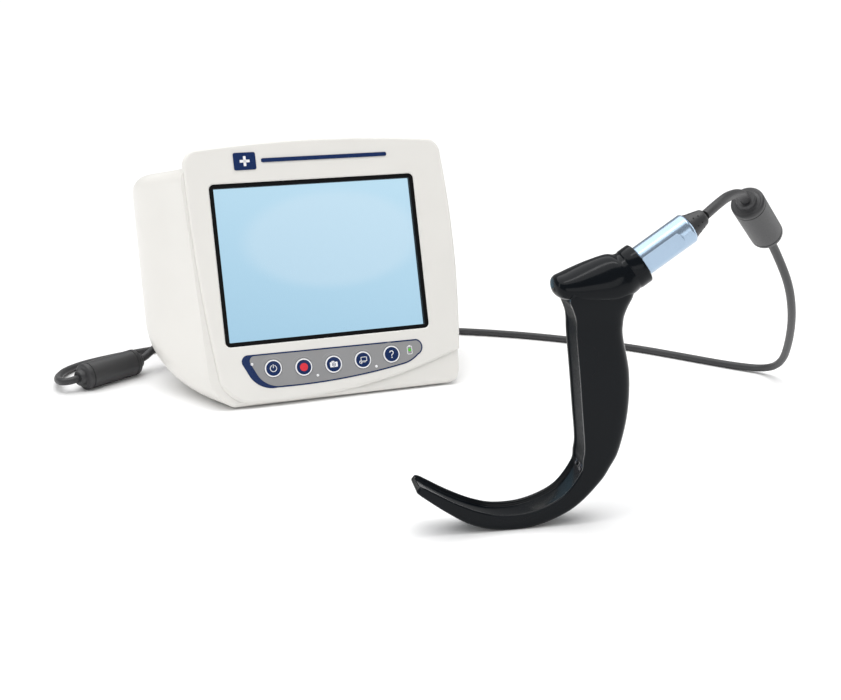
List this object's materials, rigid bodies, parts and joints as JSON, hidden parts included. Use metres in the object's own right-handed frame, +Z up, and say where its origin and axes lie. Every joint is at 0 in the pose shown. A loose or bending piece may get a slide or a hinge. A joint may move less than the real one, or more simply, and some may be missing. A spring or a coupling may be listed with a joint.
{
  "type": "video laryngoscope",
  "caption": "Tilted desk monitor with a keypad, a curved black laryngoscope blade handset and the cable with ferrites that joins them.",
  "frame": {"origin": "middle of the monitor's base on the surface that it stands on", "axes": "+X to the monitor's right as its user faces the screen, +Y from the handset to the monitor's back, +Z up"},
  "size_m": [0.465, 0.3696, 0.1624],
  "materials": {
    "case_white": "satin moulded plastic",
    "black_rubber": "matt rubber",
    "badge_navy": "smooth plastic",
    "keypad_grey": "fine textured membrane",
    "button_navy": "smooth plastic",
    "lamp_green": "translucent plastic",
    "lamp_white": "translucent plastic",
    "screen_glass": "clear window",
    "screen_picture": "lit display panel",
    "sheet_steel": "plain steel",
    "board_green": "circuit board",
    "battery_wrap": "shrink wrap",
    "port_black": "moulded plastic",
    "insert_brass": "turned brass",
    "handset_black": "polished moulded plastic",
    "window_clear": "clear window",
    "flex_amber": "polyimide film",
    "cable_grey": "satin elastomer",
    "sleeve_blue": "pale blue anodised"
  },
  "bodies": {
    "monitor": {"front_bezel": "case_white", "rear_shell": "case_white", "battery_door": "case_white", "bezel_gasket": "black_rubber", "screen_gasket": "black_rubber", "rubber_feet": "black_rubber", "flap_anchor": "black_rubber", "badge": "badge_navy", "keypad_surround": "badge_navy", "keypad_overlay": "keypad_grey", "battery_lamp": "lamp_green", "screen_window": "screen_glass", "lcd_panel": "screen_picture", "lcd_bracket": "sheet_steel", "switch_board": "board_green", "main_board": "board_green", "board_screws": "sheet_steel", "door_screws": "sheet_steel", "battery_pack": "battery_wrap", "cable_socket": "sheet_steel", "power_jack": "port_black", "usb_port": "sheet_steel", "mount_inserts": "insert_brass", "monitor_plug": "cable_grey", "monitor_strain_relief": "cable_grey", "ferrite_monitor": "cable_grey", "ferrite_handset": "cable_grey", "video_cable_socket_end": "cable_grey", "video_cable": "cable_grey", "video_cable_handset_end": "cable_grey", "handset_plug_sleeve": "sleeve_blue", "handset_plug_tongue": "sheet_steel", "handset_strain_relief": "cable_grey"},
    "handset": {"blade_shell": "handset_black", "head_cap": "handset_black", "collar": "handset_black", "handset_socket": "sheet_steel", "camera_window": "window_clear", "light_window": "window_clear", "camera_module": "port_black", "light_emitter": "lamp_white", "handset_board": "board_green", "flex_cable": "flex_amber"},
    "port_flap": {"port_flap": "black_rubber"},
    "power_button": {"power_button": "button_navy"},
    "record_button": {"record_button": "button_navy"},
    "snapshot_button": {"snapshot_button": "button_navy"},
    "display_button": {"display_button": "button_navy"},
    "help_button": {"help_button": "button_navy"}
  },
  "joints": [
    {"name": "handset_pull_off", "type": "slide", "parent": "monitor", "child": "handset", "axis": [-0.8172, 0.1207, -0.5635], "range_m": [0, 0.012]},
    {"name": "power_press", "type": "slide", "parent": "monitor", "child": "power_button", "axis": [0, 0.9455, -0.3256], "range_m": [0, 0.0008], "stiffness_N_per_m": 2500},
    {"name": "record_press", "type": "slide", "parent": "monitor", "child": "record_button", "axis": [0, 0.9455, -0.3256], "range_m": [0, 0.0008], "stiffness_N_per_m": 2500},
    {"name": "snapshot_press", "type": "slide", "parent": "monitor", "child": "snapshot_button", "axis": [0, 0.9455, -0.3256], "range_m": [0, 0.0008], "stiffness_N_per_m": 2500},
    {"name": "display_press", "type": "slide", "parent": "monitor", "child": "display_button", "axis": [0, 0.9455, -0.3256], "range_m": [0, 0.0008], "stiffness_N_per_m": 2500},
    {"name": "help_press", "type": "slide", "parent": "monitor", "child": "help_button", "axis": [0, 0.9455, -0.3256], "range_m": [0, 0.0008], "stiffness_N_per_m": 2500},
    {"name": "port_flap_hinge", "type": "hinge", "parent": "monitor", "child": "port_flap", "pos_m": [0.03, 0.05945, 0.02176], "axis": [1, 0, 0], "range_deg": [0, 100]}
  ]
}
